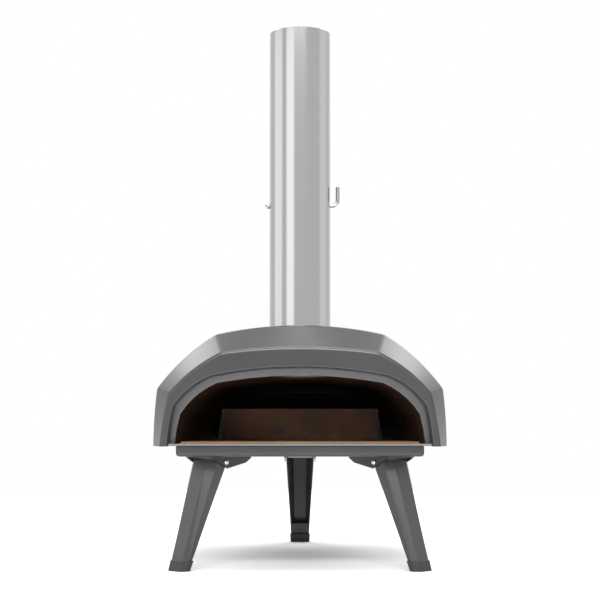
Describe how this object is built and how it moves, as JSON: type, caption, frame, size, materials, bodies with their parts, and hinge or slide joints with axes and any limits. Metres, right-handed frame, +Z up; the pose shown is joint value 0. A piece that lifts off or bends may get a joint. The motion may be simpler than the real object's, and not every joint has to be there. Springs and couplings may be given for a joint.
{
  "type": "wood fired pizza oven",
  "caption": "Portable wood fired pizza oven with an arched steel body, tall chimney with damper, rear fuel box and folding splayed legs.",
  "frame": {"origin": "middle of the bounding box on the ground", "axes": "+Z up along the chimney, +X across the oven, -Y out of the mouth"},
  "size_m": [0.4096, 0.5448, 0.778],
  "materials": {
    "powder_coat": "satin, fine texture",
    "brushed_steel": "brushed",
    "heat_steel": "heat tinted",
    "insulation": "fibrous, matte",
    "stone": "fired cordierite, matte",
    "grip": "matte",
    "foot_rubber": "matte"
  },
  "bodies": {
    "oven_body": {"front_hood": "powder_coat", "outer_shell": "powder_coat", "rear_panel": "powder_coat", "mouth_frame": "brushed_steel", "inner_liner": "heat_steel", "insulation_blanket": "insulation", "floor_plate": "brushed_steel", "hearth_tray": "heat_steel", "base_insulation": "insulation", "base_pan": "powder_coat", "flame_guard": "heat_steel", "fuel_box": "heat_steel", "fuel_grate": "heat_steel", "flue_spigot": "brushed_steel", "chimney_collar": "brushed_steel", "bracket_front_left": "powder_coat", "pivot_pin_front_left": "brushed_steel", "bracket_screw_front_left": "brushed_steel", "bracket_front_right": "powder_coat", "pivot_pin_front_right": "brushed_steel", "bracket_screw_front_right": "brushed_steel", "bracket_rear": "powder_coat", "pivot_pin_rear": "brushed_steel", "bracket_screw_rear": "brushed_steel"},
    "chimney": {"chimney_tube": "brushed_steel"},
    "damper": {"damper_rod": "brushed_steel", "damper_plate": "brushed_steel", "damper_screw_left": "brushed_steel", "damper_screw_right": "brushed_steel", "damper_nut": "brushed_steel"},
    "fuel_hatch": {"hatch_lid": "powder_coat", "hatch_post_left": "brushed_steel", "hatch_post_right": "brushed_steel", "hatch_grip": "grip"},
    "ash_drawer": {"ash_tray": "heat_steel", "ash_tray_face": "powder_coat", "ash_tray_handle": "brushed_steel"},
    "stone": {"baking_stone": "stone"},
    "leg_front_left": {"leg_front_left": "powder_coat", "foot_front_left": "foot_rubber"},
    "leg_front_right": {"leg_front_right": "powder_coat", "foot_front_right": "foot_rubber"},
    "leg_rear": {"leg_rear": "powder_coat", "foot_rear": "foot_rubber"}
  },
  "joints": [
    {"name": "leg_front_left_fold", "type": "hinge", "parent": "oven_body", "child": "leg_front_left", "pos_m": [-0.1228, -0.2069, 0.1475], "axis": [0.766, -0.6428, 0], "range_deg": [0, 108]},
    {"name": "leg_front_right_fold", "type": "hinge", "parent": "oven_body", "child": "leg_front_right", "pos_m": [0.1228, -0.2069, 0.1475], "axis": [0.766, 0.6428, 0], "range_deg": [0, 108]},
    {"name": "leg_rear_fold", "type": "hinge", "parent": "oven_body", "child": "leg_rear", "pos_m": [0, 0.1759, 0.1475], "axis": [-1, 0, 0], "range_deg": [0, 108]},
    {"name": "chimney_lift", "type": "slide", "parent": "oven_body", "child": "chimney", "axis": [0, 0, 1], "range_m": [0, 0.06]},
    {"name": "damper_turn", "type": "hinge", "parent": "chimney", "child": "damper", "pos_m": [0, -0.1331, 0.522], "axis": [1, 0, 0], "range_deg": [0, 90]},
    {"name": "hatch_lift", "type": "slide", "parent": "oven_body", "child": "fuel_hatch", "axis": [0, 0.76, 0.65], "range_m": [0, 0.08]},
    {"name": "ash_drawer_slide", "type": "slide", "parent": "oven_body", "child": "ash_drawer", "axis": [0, 1, 0], "range_m": [0, 0.13]},
    {"name": "stone_lift", "type": "slide", "parent": "oven_body", "child": "stone", "axis": [0, 0, 1], "range_m": [0, 0.03]}
  ]
}
